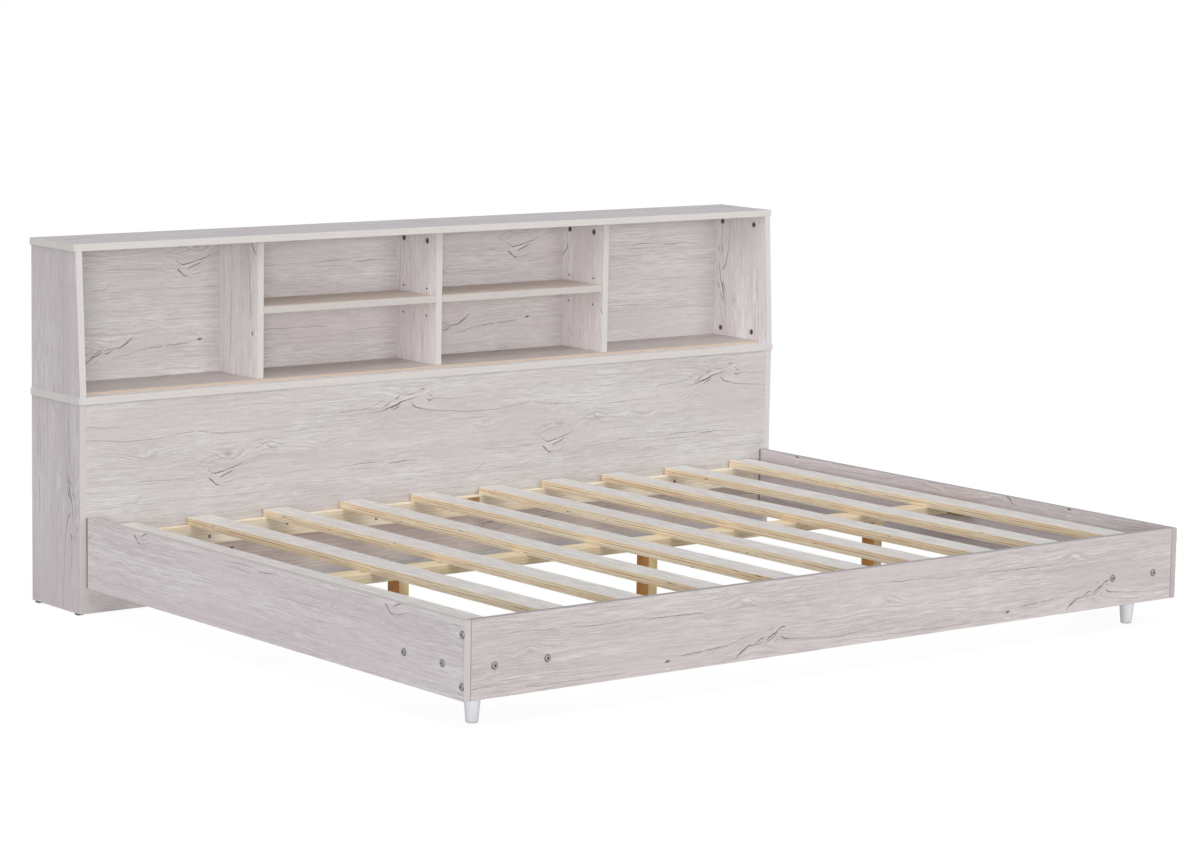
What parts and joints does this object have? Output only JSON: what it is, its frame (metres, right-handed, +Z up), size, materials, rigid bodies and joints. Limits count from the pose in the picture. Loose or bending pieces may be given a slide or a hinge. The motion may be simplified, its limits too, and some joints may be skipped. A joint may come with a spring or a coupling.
{
  "type": "bookcase headboard bed",
  "caption": "Low slatted platform bed in washed-oak laminate with an open bookcase headboard, adjustable shelves and tapered front legs.",
  "frame": {"origin": "on the floor, under the middle of the whole bed", "axes": "+X along the headboard, +Y from the foot towards the headboard's back, +Z up"},
  "size_m": [2.008, 1.6224, 0.822],
  "materials": {
    "laminate_board": "matt pale grey washed-oak laminate on board",
    "plywood": "raw plywood with a pale face",
    "pine": "raw pine",
    "painted_leg": "pale grey satin paint",
    "bright_steel": "bright zinc",
    "dark_steel": "black",
    "glide_plastic": "matt"
  },
  "bodies": {
    "bed": {"lower_side_left": "laminate_board", "lower_side_right": "laminate_board", "headboard_front_panel": "laminate_board", "lower_partition_left": "laminate_board", "lower_partition_centre": "laminate_board", "lower_partition_right": "laminate_board", "rear_stretcher_lower": "laminate_board", "rear_stretcher_upper": "laminate_board", "middle_board": "laminate_board", "hutch_floor_panel": "laminate_board", "top_board": "laminate_board", "hutch_side_left": "laminate_board", "hutch_side_right": "laminate_board", "hutch_back_left": "laminate_board", "hutch_back_right": "laminate_board", "hutch_divider_left": "laminate_board", "hutch_divider_centre": "laminate_board", "hutch_divider_right": "laminate_board", "side_rail_left": "laminate_board", "side_rail_right": "laminate_board", "front_rail": "laminate_board", "corner_board_left": "plywood", "corner_board_right": "plywood", "slat_01": "plywood", "slat_02": "plywood", "slat_03": "plywood", "slat_04": "plywood", "slat_05": "plywood", "slat_06": "plywood", "slat_07": "plywood", "slat_08": "plywood", "slat_09": "plywood", "slat_10": "plywood", "head_ledger": "pine", "foot_ledger": "pine", "centre_beam": "pine", "beam_cleat_left": "pine", "beam_cleat_right": "pine", "post_left": "pine", "post_centre": "pine", "post_right": "pine", "legs": "painted_leg", "cam_locks": "bright_steel", "shelf_pins": "bright_steel", "corner_bolts": "bright_steel", "corner_board_bolts": "bright_steel", "barrel_nuts": "bright_steel", "cabinet_brackets": "dark_steel", "beam_plates": "dark_steel", "floor_glides": "glide_plastic"},
    "shelf_left": {"shelf_left": "laminate_board"},
    "shelf_right": {"shelf_right": "laminate_board"}
  },
  "joints": [
    {"name": "shelf_left_slide", "type": "slide", "parent": "bed", "child": "shelf_left", "axis": [0, -1, 0], "range_m": [0, 0.17]},
    {"name": "shelf_right_slide", "type": "slide", "parent": "bed", "child": "shelf_right", "axis": [0, -1, 0], "range_m": [0, 0.17]}
  ]
}
